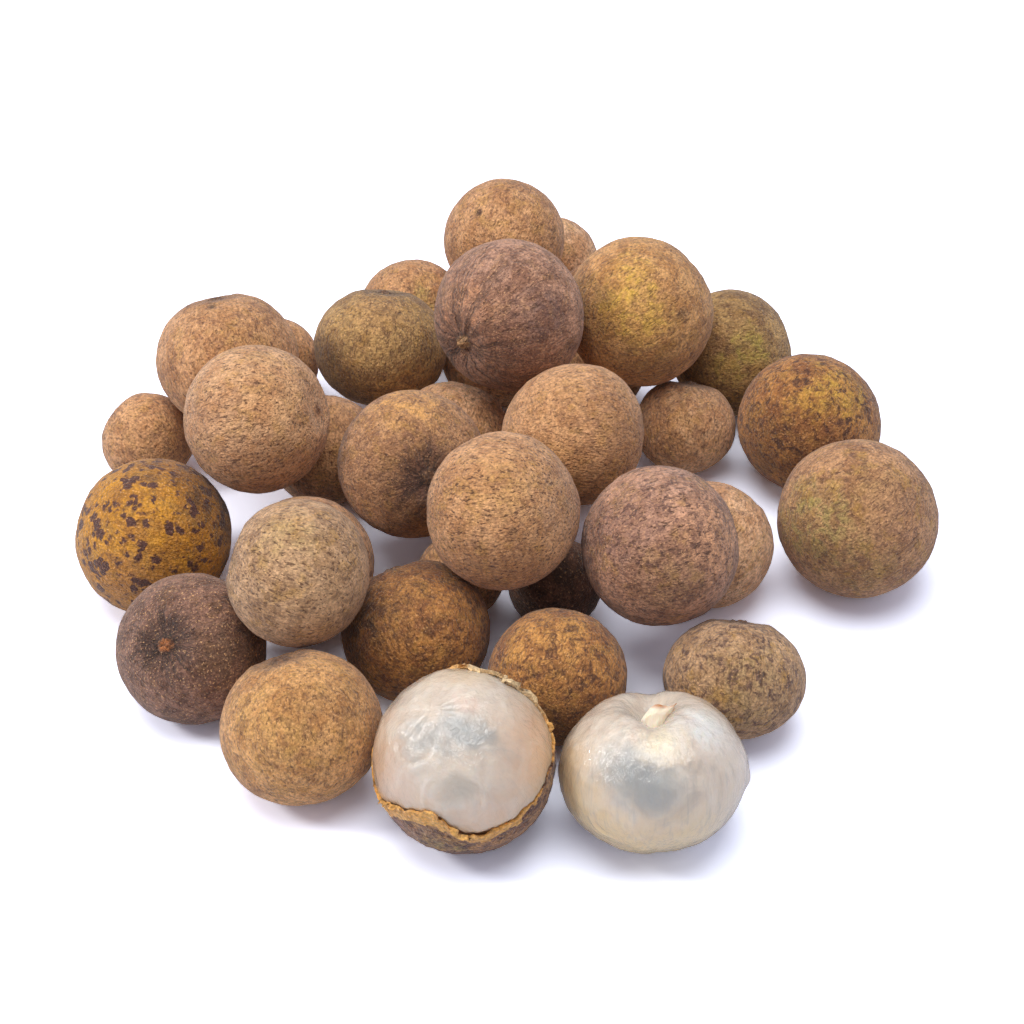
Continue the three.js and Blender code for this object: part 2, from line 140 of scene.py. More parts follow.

# Whole fruits: stem end (azimuth, elevation), height as a share of the width, and the rind's look.
# A patch is (across, up, size in mm, colour, strength), where across and up are shares of the
# fruit's radius as the camera sees it.
# Fruits given the lightest tones have painted light in their rinds, and the one given near-black tones has
# painted shadow
FRUITS = {
    "fruit_01": dict(stem=(100, 10), tall=0.98, tones=PAINTED_LIGHT),
    "fruit_02": dict(stem=(20, 25), tall=0.97, tones=TAN, hidden=True),
    "fruit_03": dict(stem=(110, 25), tall=0.97, tones=TAN, patches=[
        (0.25, 0.0, 6, "#ae9a5a", 0.6), (-0.6, 0.5, 5, "#8a6040", 0.5), (0.0, -0.6, 6, "#7d5a40", 0.5)]),
    "fruit_04": dict(stem=(150, 30), tall=0.97, tones=TAN, hidden=True),
    "fruit_05": dict(stem=(50, 10), tall=0.98, tones=BROWN, hidden=True),
    "fruit_06": dict(stem=(12, 10), tall=0.94, tones=OLIVE, patches=[
        (0.25, 0.1, 5, "#ab9a4c", 0.75), (-0.05, -0.35, 4, "#a8944a", 0.5), (-0.15, 0.15, 3, "#7c5342", 0.5),
        (-0.5, -0.3, 6, "#6b4930", 0.5)]),
    "fruit_07": dict(stem=(130, 20), tall=0.97, tones=TAN),
    "fruit_08": dict(stem=(75, 55), tall=0.95, tones=PALE, patches=[
        (0.45, 0.15, 5, "#8a6450", 0.3), (-0.6, 0.0, 5, "#6f4d3c", 0.4)]),
    "fruit_09": dict(stem=(60, 25), tall=0.97, tones=RUST, blotch=0.85, patches=[
        (0.35, 0.5, 7, "#c9a24e", 0.7), (-0.1, 0.25, 4, "#b98d48", 0.6), (-0.5, -0.3, 8, SOOT, 0.5),
        (0.3, -0.4, 7, "#63433a", 0.6)]),
    "fruit_10": dict(stem=(150, 20), tall=0.97, tones=TAN, patches=[(0.2, -0.2, 7, "#8d6a4c", 0.5)]),
    "fruit_11": dict(stem=(100, 20), tall=0.97, tones=BROWN),
    "fruit_12": dict(stem=(70, 35), tall=0.98, tones=PAINTED_LIGHT),
    "fruit_13": dict(stem=(40, -10), tall=0.97, tones=TAN, hidden=True),
    "fruit_14": dict(stem=(120, 15), tall=0.98, tones=BROWN, hidden=True),
    "fruit_15": dict(stem=(35, 20), tall=0.98, tones=BROWN, gold=0.6, patches=[
        (0.15, 0.3, 8, "#a08050", 0.45),
        (-0.6, -0.1, 9, GREEN, 0.7), (0.1, -0.6, 8, "#8f7748", 0.6), (0.5, 0.1, 7, "#94695a", 0.4)]),
    "fruit_16": dict(stem=(50, 20), tall=0.98, tones=PAINTED_LIGHT, puckers=0.6),
    "fruit_17": dict(
        stem=(165, 15), tall=0.98, tones=OCHRE, blotch=0.4, spots=0.95, sheen=0.5, flecks=-1, patches=[
            (0.85, 0.4, 10, "#38221c", 0.95), (0.3, 0.85, 7, "#5a3828", 0.75),
            (-0.3, -0.6, 9, "#b88356", 0.6)]),
    "fruit_18": dict(stem=(140, 30), tall=0.97, tones=BROWN),
    "fruit_19": dict(stem=(100, 20), tall=0.98, tones=BROWN, hidden=True),
    # Near-black rind with no golden turns: painted shadow, as this fruit lies deep in the heap's shade
    "fruit_20": dict(stem=(80, 15), tall=0.98, tones=PAINTED_SHADOW, gold=0),
    "fruit_21": dict(
        stem=(-110, 45), tall=0.96, tones=DARK, star="#d98a58", puckers=0.8, ring=0.75, dust=0.9, nub=0.8,
        gold=0.12, patches=[(0.55, -0.1, 7, "#5b4a32", 0.5), (-0.4, 0.4, 8, "#7e5b4c", 0.5)]),
    "fruit_22": dict(stem=(120, 45), tall=0.95, tones=RUST, blotch=0.65, sheen=0.5, patches=[
        (-0.75, 0.1, 9, SOOT, 0.85), (0.35, 0.35, 5, "#c58a52", 0.5), (0.1, 0.85, 6, "#5a3a26", 0.6)]),
    "fruit_23": dict(stem=(70, 25), tall=0.98, tones=RUST, blotch=0.75, patches=[
        (-0.1, 0.5, 8, "#d29c60", 0.75), (0.0, -0.4, 8, "#7c5a30", 0.5), (0.2, -0.75, 6, "#5b3a2b", 0.6)]),
    "fruit_24": dict(stem=(82, 50), tall=0.86, tones=GREY, blotch=0.85, gold=0.6, patches=[
        (0.2, -0.2, 9, "#8f7a4e", 0.5), (-0.5, 0.2, 7, "#7d6550", 0.5)]),
    "fruit_25": dict(stem=(120, 55), tall=0.95, tones=GOLD, patches=[
        (0.1, 0.2, 5, "#8f6644", 0.5), (-0.3, 0.0, 7, "#b98e50", 0.5), (0.75, 0.1, 7, "#8a6844", 0.5)]),
    "fruit_26": dict(stem=(80, 60), tall=0.9, tones=OLIVE, patches=[
        (0.0, 0.65, 7, "#bd9366", 0.7), (0.3, -0.2, 6, "#5d4128", 0.4), (-0.6, -0.3, 7, "#6f5433", 0.5)]),
    "fruit_27": dict(stem=(70, 15), tall=0.99, tones=TAN, patches=[(-0.41, 0.44, 0.9, SOOT, 0.9)]),
    "fruit_28": dict(stem=(30, 25), tall=0.98, tones=GOLD, patches=[
        (-0.15, 0.45, 6, YELLOW, 0.75), (0.0, 0.0, 7, YELLOW, 0.75), (-0.45, -0.05, 5, "#b89448", 0.6),
        (-0.75, 0.1, 7, "#8b6a44", 0.6), (0.1, -0.75, 8, "#8c6a48", 0.5), (0.35, 0.3, 4, "#b07f5a", 0.6),
        (0.55, 0.0, 1.3, SOOT, 0.6)]),
    # Its dark patch low down (0.2, -0.6) is painted shade on the shadowed bottom of this fruit
    "fruit_29": dict(stem=(-72, 27), tall=0.97, tones=BROWN, puckers=0.8, ring=0.7, patches=[
        (0.0, 0.85, 8, "#d9a468", 0.9), (0.2, -0.6, 9, "#4c3429", 0.85), (0.3, 0.0, 7, "#6f4b38", 0.6),
        (-0.4, -0.1, 8, "#80583f", 0.6)]),
    "fruit_30": dict(stem=(10, -10), tall=1, egg=-0.09, tones=TAN, blotch=0.35, patches=[
        (-0.2, 0.6, 7, "#c9986c", 0.5), (0.6, 0.1, 8, "#94684c", 0.5), (-0.3, -0.5, 7, "#b5854e", 0.4)]),
    "fruit_31": dict(stem=(110, 60), tall=0.94, tones=TAN, patches=[
        (-0.15, 0.78, 1.1, SOOT, 0.9), (0.3, 0.1, 7, "#b58a58", 0.5)]),
    "fruit_32": dict(stem=(15, 5), tall=0.98, tones=ROSY, sheen=0.3, flecks=0.6, blotch=0.65, patches=[
        (-0.45, 0.2, 7, PURPLE, 0.55), (0.1, -0.4, 7, "#8f6f48", 0.5), (0.7, 0.15, 8, "#dca680", 0.85),
        (0.0, 0.85, 7, "#c49a84", 0.6)]),
    "fruit_33": dict(
        stem=(-9, 20), tall=0.98, tones=PALE, flecks=0.6, blotch=0.35, puckers=0, ring=0, patches=[
            (-0.6, -0.1, 9, "#a87a5c", 0.4), (0.3, 0.4, 7, "#d9a878", 0.5), (0.1, -0.7, 8, "#8a6048", 0.5)]),
    "fruit_34": dict(stem=(170, 15), tall=0.96, tones=GREY, flecks=0.5, blotch=0.35, patches=[
        (-0.1, 0.5, 6, "#b29a60", 0.4)]),
    "fruit_35": dict(stem=(165, -10), tall=0.97, tones=TAN, flecks=0.7, blotch=0.35, patches=[
        (0.0, 0.3, 7, "#c9995f", 0.5), (0.75, 0.1, 7, "#a27f68", 0.5), (-0.1, -0.75, 8, "#845a42", 0.5)]),
    "fruit_36": dict(
        stem=(-131, 4), tall=0.96, tones=ROSY, star="#e0b080", puckers=0.95, ring=0.5, streaks=22, nub=1.5,
        gold=0.2, patches=[
            (0.4, -0.05, 6, "#56454a", 0.6), (-0.65, 0.1, 7, "#cd9068", 0.6),
            (-0.2, 0.7, 8, "#b8907c", 0.6), (0.0, -0.8, 8, "#5b3d33", 0.6), (0.1, -0.35, 6, "#7a5444", 0.5)]),
}


def colour(hex_code):
    """A linear RGBA colour from an sRGB hex code."""
    shares = [int(hex_code[i:i + 2], 16) / 255 for i in (1, 3, 5)]
    return (*(s / 12.92 if s <= 0.04045 else ((s + 0.055) / 1.055) ** 2.4 for s in shares), 1)


def add(tree, kind, settings=(), links=()):
    """Adds a node: settings are its own properties or its sockets' values, links run into its sockets."""
    made = tree.nodes.new(kind)
    for key, value in dict(settings).items():
        if isinstance(key, str) and hasattr(made, key):
            setattr(made, key, value)
        else:
            made.inputs[key].default_value = value
    for key, source in dict(links).items():
        tree.links.new(source, made.inputs[key])
    return made


def new_material(name):
    """An empty material with its node tree and the output that a surface runs into."""
    material = bpy.data.materials.new(name)
    material.use_nodes = True
    material.node_tree.nodes.clear()
    return material, material.node_tree, add(material.node_tree, "ShaderNodeOutputMaterial")


# Places and directions

def stem_turn(azimuth, elevation):
    """The turn that takes +Z to the stem end's direction, as the CAD turns its fruits."""
    azimuth, elevation = math.radians(azimuth), math.radians(elevation)
    stem = Vector((math.cos(elevation) * math.cos(azimuth), math.cos(elevation) * math.sin(azimuth),
                   math.sin(elevation)))
    pole_to_y = Quaternion((1, 0, 0), math.radians(-90))
    return Vector((0, 1, 0)).rotation_difference(stem) @ pole_to_y


def camera_place():
    back = Vector((0, -math.cos(CAMERA_ELEVATION), math.sin(CAMERA_ELEVATION)))
    return CAMERA_AIM + back * CAMERA_DISTANCE


def facing(centre, turn, across, up):
    """Direction, in a fruit's own axes, of what the camera sees at these shares of its radius."""
    toward = (camera_place() - centre).normalized()
    right = Vector((0, 0, 1)).cross(toward).normalized()
    above = toward.cross(right)
    depth = math.sqrt(max(0, 1 - across * across - up * up))
    return turn.inverted() @ (right * across + above * up + toward * depth).normalized()


def seat(node, stem, tall):
    """Middle and half-width of the body of revolution whose box is a CAD node's."""
    low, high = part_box(node)
    axis = stem_turn(*stem) @ Vector((0, 0, 1))
    reach = [math.sqrt(1 - a * a * (1 - tall * tall)) for a in axis]
    across = ((high.x - low.x) / reach[0] + (high.y - low.y) / reach[1]) / 4
    middle = (low + high) / 2
    return Vector((middle.x, middle.y, high.z - across * reach[2])), across


# Modelling steps

def pick(piece):
    """Selects a piece alone and makes it the active one."""
    bpy.ops.object.select_all(action="DESELECT")
    piece.select_set(True)
    bpy.context.view_layer.objects.active = piece


def ball(name, fineness, across, along):
    """A ball drawn out along +Z."""
    bpy.ops.object.select_all(action="DESELECT")
    bpy.ops.mesh.primitive_ico_sphere_add(subdivisions=fineness, radius=across)
    piece = bpy.context.object
    piece.name = piece.data.name = name
    bpy.ops.object.mode_set(mode="EDIT")
    bpy.ops.transform.resize(value=(1, 1, along / across))
    bpy.ops.object.mode_set(mode="OBJECT")
    return piece


def reshape(piece, place):
    """Moves every vertex to where the function takes it."""
    for vertex in piece.data.vertices:
        vertex.co = place(vertex.co)
    piece.data.update()


def unevenness(piece, relief):
    """Raises and sinks a surface along its normals by smooth random swellings, and applies them."""
    for size, height in relief:
        texture = bpy.data.textures.new(piece.name + "_clouds", "CLOUDS")
        texture.noise_scale = size
        modifier = piece.modifiers.new("unevenness", "DISPLACE")
        modifier.texture = texture
        modifier.strength = height
        apply_modifiers(piece)


def apply_modifiers(piece):
    pick(piece)
    for modifier in list(piece.modifiers):
        bpy.ops.object.modifier_apply(modifier=modifier.name)


def select_faces(piece, wanted):
    """In object mode, selects the faces whose middle the test accepts, and nothing else."""
    for vertex in piece.data.vertices:
        vertex.select = False
    for edge in piece.data.edges:
        edge.select = False
    for face in piece.data.polygons:
        face.select = wanted(face.center)


def set_down(piece, centre, turn):
    """Turns a piece to its stem end's direction and moves it to its place."""
    pick(piece)
    piece.rotation_mode = "QUATERNION"
    piece.rotation_quaternion = turn
    piece.location = centre
    bpy.ops.object.transform_apply(location=True, rotation=True, scale=True)


def cut_at_floor(piece):
    """Cuts off whatever of a finished piece lies below the floor."""
    if min(vertex.co.z for vertex in piece.data.vertices) >= 0:
        return
    pick(piece)
    bpy.ops.object.mode_set(mode="EDIT")
    bpy.ops.mesh.select_all(action="SELECT")
    bpy.ops.mesh.bisect(plane_co=(0, 0, 0), plane_no=(0, 0, 1), use_fill=True, clear_inner=True)
    bpy.ops.object.mode_set(mode="OBJECT")


def finish_piece(piece, node, slot, *materials):
    """Gives a piece its materials and smooth shading, and puts it in the place of its CAD node."""
    for material in materials:
        piece.data.materials.append(material)
    pick(piece)
    bpy.ops.object.shade_smooth_by_angle(angle=math.radians(60))
    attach(piece, "root")
    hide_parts(node)


# Steps that several materials share

def millimetres(tree, centre, turn):
    """Object coordinates as millimetres from a fruit's middle, with its stem end up."""
    place = add(tree, "ShaderNodeTexCoord")
    return add(tree, "ShaderNodeMapping", {
        "vector_type": "TEXTURE", "Location": centre, "Rotation": turn.to_euler(), "Scale": (MM,) * 3,
    }, {"Vector": place.outputs["Object"]}).outputs[0]


def strayed(tree, at, pattern, reach):
    """A place pushed to and fro by a pattern's colours, up to half the reach, so that edges wander."""
    away = add(tree, "ShaderNodeVectorMath", {"operation": "SUBTRACT", 1: (0.5, 0.5, 0.5)},
               {0: pattern.outputs["Color"]})
    push = add(tree, "ShaderNodeVectorMath", {"operation": "SCALE", "Scale": reach}, {0: away.outputs[0]})
    return add(tree, "ShaderNodeVectorMath", {"operation": "ADD"}, {0: at, 1: push.outputs[0]}).outputs[0]


def patch(tree, at, spot, size, strength, core, edge):
    """How strongly a patch covers a place: fully up to the core share of its size, not past the edge."""
    distance = add(tree, "ShaderNodeVectorMath", {"operation": "DISTANCE", 1: spot}, {0: at})
    return add(tree, "ShaderNodeMapRange", {
        "interpolation_type": "SMOOTHSTEP", "From Min": size * core, "From Max": size * edge,
        "To Min": strength, "To Max": 0}, {0: distance.outputs["Value"]}).outputs[0]


# Rinds of the whole fruits

def ground_tones(tree, look, shift, mottle, wander):
    """Ground of a rind: a slow change of tone, broken by mottles, with golden turns."""
    light, dark, _ = look["tones"]
    slow = add(tree, "ShaderNodeTexNoise", {"Scale": 1 / SLOW_TONES, "Detail": 2, "Roughness": 0.5},
               {"Vector": shift})
    both = add(tree, "ShaderNodeMath", {"operation": "MULTIPLY_ADD", 1: 0.6},
               {0: slow.outputs["Fac"], 2: mottle.outputs["Fac"]})
    ground = add(tree, "ShaderNodeMapRange", {
        "interpolation_type": "SMOOTHSTEP", "From Min": 0.66, "From Max": 0.95}, {0: both.outputs[0]})
    tone = add(tree, "ShaderNodeMix", {"data_type": "RGBA", MIX_A: colour(light), MIX_B: colour(dark)},
               {0: ground.outputs[0]})
    golden = add(tree, "ShaderNodeMapRange", {
        "interpolation_type": "SMOOTHSTEP", "From Min": 0.5, "From Max": 0.66, "To Max": look["gold"]},
        {0: wander.outputs["Fac"]})
    return add(tree, "ShaderNodeMix", {"data_type": "RGBA", MIX_B: colour("#b98f50")},
               {0: golden.outputs[0], MIX_A: tone.outputs[MIXED]}).outputs[MIXED]


def large_spots(tree, look, shift, wander):
    """Spots of different sizes that run together."""
    smeared = strayed(tree, shift, wander, 4.2)
    cells = add(tree, "ShaderNodeTexVoronoi", {"Scale": 1 / SPOTS}, {"Vector": smeared})
    own_size = add(tree, "ShaderNodeMath", {"operation": "MULTIPLY_ADD", 1: 0.95, 2: -0.12},
                   {0: cells.outputs["Color"]})
    inside = add(tree, "ShaderNodeMath", {"operation": "SUBTRACT"},
                 {0: own_size.outputs[0], 1: cells.outputs["Distance"]})
    dots = add(tree, "ShaderNodeMapRange", {
        "interpolation_type": "SMOOTHSTEP", "From Min": -0.08, "From Max": 0.2, "To Max": look["spots"]},
        {0: inside.outputs[0]})
    return dots.outputs[0], "#4c2c2a"


def stem_end_marks(tree, look, mm, wander, centre):
    """Layers of the stem end: the scar where the stalk broke off, woody or fresh and darker in the
    dimple round it, and last the streaks that run to it."""
    flat = add(tree, "ShaderNodeVectorMath", {"operation": "MULTIPLY", 1: (1, 1, 0)},
               {0: strayed(tree, mm, wander, 2.6)})
    from_axis = add(tree, "ShaderNodeVectorMath", {"operation": "LENGTH"}, {0: flat.outputs[0]})
    height = add(tree, "ShaderNodeSeparateXYZ", {}, {0: mm})
    upper = add(tree, "ShaderNodeMath", {"operation": "GREATER_THAN", 1: 0}, {0: height.outputs["Z"]})
    layers = []
    for reach, share, tint in ((6.5, 0.7 * look["ring"], look["tones"][2]), (2.4, look["ring"], SOOT),
                               (1.5, 0.9, look["star"])):
        close = add(tree, "ShaderNodeMapRange", {
            "interpolation_type": "SMOOTHSTEP", "From Min": reach * 0.5, "From Max": reach,
            "To Min": share, "To Max": 0}, {0: from_axis.outputs["Value"]})
        scar = add(tree, "ShaderNodeMath", {"operation": "MULTIPLY"},
                   {0: close.outputs[0], 1: upper.outputs[0]})
        layers.append((scar.outputs[0], tint))

    outward = add(tree, "ShaderNodeVectorMath", {"operation": "NORMALIZE"}, {0: flat.outputs[0]})
    ray = add(tree, "ShaderNodeVectorMath", {"operation": "MULTIPLY_ADD", 1: (7, 7, 0), 2: centre * 900},
              {0: outward.outputs[0]})
    rays = add(tree, "ShaderNodeTexNoise", {"Scale": 1.6, "Detail": 3, "Roughness": 0.65},
               {"Vector": ray.outputs[0]})
    run = add(tree, "ShaderNodeMapRange", {
        "interpolation_type": "SMOOTHSTEP", "From Min": 3, "From Max": look["streaks"],
        "To Min": look["puckers"], "To Max": 0}, {0: from_axis.outputs["Value"]})
    dark_ray = add(tree, "ShaderNodeMapRange", {"From Min": 0.48, "From Max": 0.66},
                   {0: rays.outputs["Fac"]})
    by_stem = add(tree, "ShaderNodeMath", {"operation": "MULTIPLY"}, {0: run.outputs[0], 1: upper.outputs[0]})
    streaked = add(tree, "ShaderNodeMath", {"operation": "MULTIPLY"},
                   {0: by_stem.outputs[0], 1: dark_ray.outputs[0]})
    return [*layers, (streaked.outputs[0], SOOT)]


def torn_band(tree, look, shade, wander, patchy, near, flap):
    """The ragged band along a torn edge where the outer skin is gone and the pith shows."""
    rim = add(tree, "ShaderNodeAttribute", {"attribute_name": "from_rim"})
    frayed = add(tree, "ShaderNodeMath", {"operation": "MULTIPLY_ADD", 1: 5},
                 {0: wander.outputs["Fac"], 2: rim.outputs["Fac"]})
    bare = add(tree, "ShaderNodeMapRange", {
        "interpolation_type": "SMOOTHSTEP", "From Min": look["torn"] + 2.1, "From Max": look["torn"] + 2.5,
        "To Min": 1, "To Max": 0}, {0: frayed.outputs[0]})
    fibrous = add(tree, "ShaderNodeMix", {
        "data_type": "RGBA", MIX_A: colour("#c0782f"), MIX_B: colour("#ffd48c")},
        {0: patchy.outputs["Fac"]})
    pale = patch(tree, near, flap, 10, 0.85, 0.5, 1.2)
    pith = add(tree, "ShaderNodeMix", {"data_type": "RGBA", MIX_B: colour("#ecd2a8")},
               {0: pale, MIX_A: fibrous.outputs[MIXED]})
    return add(tree, "ShaderNodeMix", {"data_type": "RGBA"},
               {0: bare.outputs[0], MIX_A: shade, MIX_B: pith.outputs[MIXED]}).outputs[MIXED]


def rind(name, look, centre, turn, across):
    """Dry longan rind, leathery and grown in one skin: matt tan to brown, in soft mottles of a few
    millimetres, with a grain of pinhead pebbles that breaks up the light."""
    look = {**PLAIN, **look}
    material, tree, output = new_material(name)
    mm = millimetres(tree, centre, turn)
    shift = add(tree, "ShaderNodeVectorMath", {"operation": "ADD", 1: centre * OWN_PART}, {0: mm}).outputs[0]
    mottle = add(tree, "ShaderNodeTexNoise", {
        "Scale": 1 / MOTTLES, "Detail": 5, "Roughness": 0.62, "Distortion": 0.4}, {"Vector": shift})
    wander = add(tree, "ShaderNodeTexNoise", {"Scale": 1 / PATCH_WAVES, "Detail": 3, "Roughness": 0.65},
                 {"Vector": shift})
    shade = ground_tones(tree, look, shift, mottle, wander)

    # Patches with edges that wander, broken by the mottles, and small sharp marks
    near = strayed(tree, mm, wander, PATCH_STRAY)
    broken = add(tree, "ShaderNodeMapRange", {
        "interpolation_type": "SMOOTHSTEP", "From Min": 0.4, "From Max": 0.56, "To Min": 1, "To Max": 0.3},
        {0: mottle.outputs["Fac"]})
    for sideways, up, size, tint, strength in look["patches"]:
        mark = size < 2
        spot = facing(centre, turn, sideways, up) * (across / MM)
        reach = patch(tree, mm if mark else near, spot, size, strength, 0.4, 1.2)
        held = add(tree, "ShaderNodeMath", {"operation": "MULTIPLY", 1: 1},
                   {0: reach} if mark else {0: reach, 1: broken.outputs[0]})
        shade = add(tree, "ShaderNodeMix", {"data_type": "RGBA", MIX_B: colour(tint)},
                    {0: held.outputs[0], MIX_A: shade}).outputs[MIXED]

    # Blotches, spots and the marks of the stem end
    patchy = add(tree, "ShaderNodeTexNoise", {
        "Scale": 1 / BLOTCHES, "Detail": 3, "Roughness": 0.6, "Distortion": 0.8}, {"Vector": shift})
    blotched = add(tree, "ShaderNodeMapRange", {
        "interpolation_type": "SMOOTHSTEP", "From Min": 0.47, "From Max": 0.66, "To Max": look["blotch"]},
        {0: patchy.outputs["Fac"]})
    layers = [(blotched.outputs[0], look["tones"][2])]
    if look["spots"]:
        layers.append(large_spots(tree, look, shift, wander))
    layers += stem_end_marks(tree, look, mm, wander, centre)
    streaked = layers[-1][0]

    # Crackle: short dark splits, broken off by a finer noise
    drawn_out = add(tree, "ShaderNodeMapping", {
        "Scale": (1 / SPLIT_WIDTH, 1 / SPLIT_WIDTH, 1 / SPLIT_LENGTH), "Rotation": (0.4, 0.5, 0)},
        {"Vector": shift})
    splits = add(tree, "ShaderNodeTexNoise", {"Scale": 1, "Detail": 2, "Roughness": 0.55, "Distortion": 0.7},
                 {"Vector": drawn_out.outputs[0]})
    dashes = add(tree, "ShaderNodeMapRange", {
        "interpolation_type": "SMOOTHSTEP", "From Min": 0.54, "From Max": 0.67,
        "To Max": 0.6 + 0.35 * look["flecks"]}, {0: splits.outputs["Fac"]})
    layers.append((dashes.outputs[0], "#553829"))

    # Dust: pale golden specks
    dust = add(tree, "ShaderNodeTexNoise", {"Scale": 1 / DUST, "Detail": 2, "Roughness": 0.6},
               {"Vector": shift})
    specks = add(tree, "ShaderNodeMapRange", {
        "interpolation_type": "SMOOTHSTEP", "From Min": 0.58, "From Max": 0.76, "To Max": look["dust"]},
        {0: dust.outputs["Fac"]})
    layers.append((specks.outputs[0], "#eabb8a"))
    for cover, tint in layers:
        shade = add(tree, "ShaderNodeMix", {"data_type": "RGBA", MIX_B: colour(tint)},
                    {0: cover, MIX_A: shade}).outputs[MIXED]
    if look["torn"]:
        flap = facing(centre, turn, 0.45, 0.8) * (across / MM)
        shade = torn_band(tree, look, shade, wander, patchy, near, flap)

    # Grain: pebbles, pale on top and dark between
    pebbles = add(tree, "ShaderNodeTexVoronoi", {"Scale": 1 / PEBBLES}, {"Vector": shift})
    grain = add(tree, "ShaderNodeMath", {"operation": "MULTIPLY_ADD", 1: -0.6},
                {0: pebbles.outputs["Distance"], 2: dust.outputs["Fac"]})
    value = add(tree, "ShaderNodeMapRange", {
        "From Min": -0.1, "From Max": 0.45, "To Min": 0.7, "To Max": 1.32}, {0: grain.outputs[0]})
    grained = add(tree, "ShaderNodeHueSaturation", {"Saturation": 1.06},
                  {"Value": value.outputs[0], "Color": shade})

    # Relief: the splits, the streaks at the stem end, then the pebbles
    sunk = add(tree, "ShaderNodeMath", {"operation": "MULTIPLY_ADD", 1: 0.8},
               {0: streaked, 2: splits.outputs["Fac"]})
    soft = add(tree, "ShaderNodeBump", {"Strength": 1, "Distance": 0.36 * MM, "invert": True},
               {"Height": sunk.outputs[0]})
    fine = add(tree, "ShaderNodeBump", {"Strength": 1, "Distance": 0.2 * MM},
               {"Height": grain.outputs[0], "Normal": soft.outputs[0]})
    dullness = 0.78 - 0.4 * look["sheen"]
    rough = add(tree, "ShaderNodeMapRange", {"To Min": dullness - 0.06, "To Max": dullness + 0.12},
                {0: patchy.outputs["Fac"]})
    surface = add(tree, "ShaderNodeBsdfPrincipled", {
        "IOR": 1.45, "Sheen Weight": 0.25, "Sheen Roughness": 0.45,
    }, {"Base Color": grained.outputs[0], "Roughness": rough.outputs[0], "Normal": fine.outputs[0]})
    tree.links.new(surface.outputs[0], output.inputs[0])
    return material


def shape_stem_end(piece, along, rise, order):
    """Presses the dimple into the stem end and draws a ragged stub up out of it."""
    select_faces(piece, lambda c: c.z > 0 and math.hypot(c.x, c.y) < NUB_RADIUS * 1.3)
    bpy.ops.object.mode_set(mode="EDIT")
    bpy.ops.transform.translate(
        value=(0, 0, -PIT_DEPTH), use_proportional_edit=True, proportional_edit_falloff="SMOOTH",
        proportional_size=PIT_REACH)
    bpy.ops.object.mode_set(mode="OBJECT")

    def tear(at):
        from_axis = math.hypot(at.x, at.y)
        if at.z < along * 0.5 or from_axis > NUB_RADIUS * 1.6:
            return at
        torn = noise.noise(Vector((at.x, at.y, order * MM)) * NUB_TEARS)
        stands = max(0, 1 - from_axis / (NUB_RADIUS * (1.2 + 0.5 * torn)))
        return at + Vector((0, 0, rise * (0.6 + 1.2 * torn) * min(1, 3 * stands)))
    reshape(piece, tear)


def pucker(strength, order):
    """Wrinkles that run in to the stem end and fade away from it."""
    def place(at):
        from_axis = math.hypot(at.x, at.y)
        if at.z < 0 or from_axis < NUB_RADIUS * 1.2:
            return at
        angle = math.atan2(at.y, at.x)
        ring = Vector((math.cos(angle), math.sin(angle), order * 7 + from_axis * 90))
        ridge = noise.noise(ring * 3.1) + 0.6 * noise.noise(ring * 6.7)
        fade = math.exp(-((from_axis - NUB_RADIUS * 1.2) / PUCKER_REACH) ** 2)
        return at + at.normalized() * (ridge * fade * strength * PUCKER_HEIGHT)
    return place


def whole_fruit(node, look, order):
    """One fruit in its rind. Its place in the list gives it its own wrinkles and its own stub."""
    look = {**PLAIN, **look}
    turn = stem_turn(*look["stem"])
    centre, across = seat(node, look["stem"], look["tall"])
    along = across * look["tall"]
    piece = ball(node + "_rind", 5 if look["hidden"] else 6, across, along)
    egg = look["egg"]
    if egg:
        reshape(piece, lambda at: Vector((
            at.x * (1 - egg * at.z / along), at.y * (1 - egg * at.z / along), at.z)))
    shape_stem_end(piece, along, NUB_RISE * look["nub"], order)
    reshape(piece, pucker(look["puckers"], order))
    set_down(piece, centre, turn)
    unevenness(piece, RIND_RELIEF)
    cut_at_floor(piece)
    finish_piece(piece, node, "skin", rind("leathery_rind_" + node[-2:], look, centre, turn, across))


# Opened fruits

def torn_edge(angle):
    """Angle of the torn edge from the cup's open end, eased between the chosen points, and ragged."""
    turn = math.degrees(angle) % 360
    ends = TORN_EDGE + [(360, TORN_EDGE[0][1])]
    at = max(i for i, (start, _) in enumerate(ends[:-1]) if start <= turn)
    (start, low), (end, high) = ends[at], ends[at + 1]
    share = (turn - start) / (end - start)
    eased = low + (high - low) * share * share * (3 - 2 * share)
    ring = Vector((math.cos(angle), math.sin(angle), 0))
    ragged = 0
    for height, waves in RAGGED:
        ragged += height * noise.noise(ring * waves)
    return math.radians(eased + ragged)


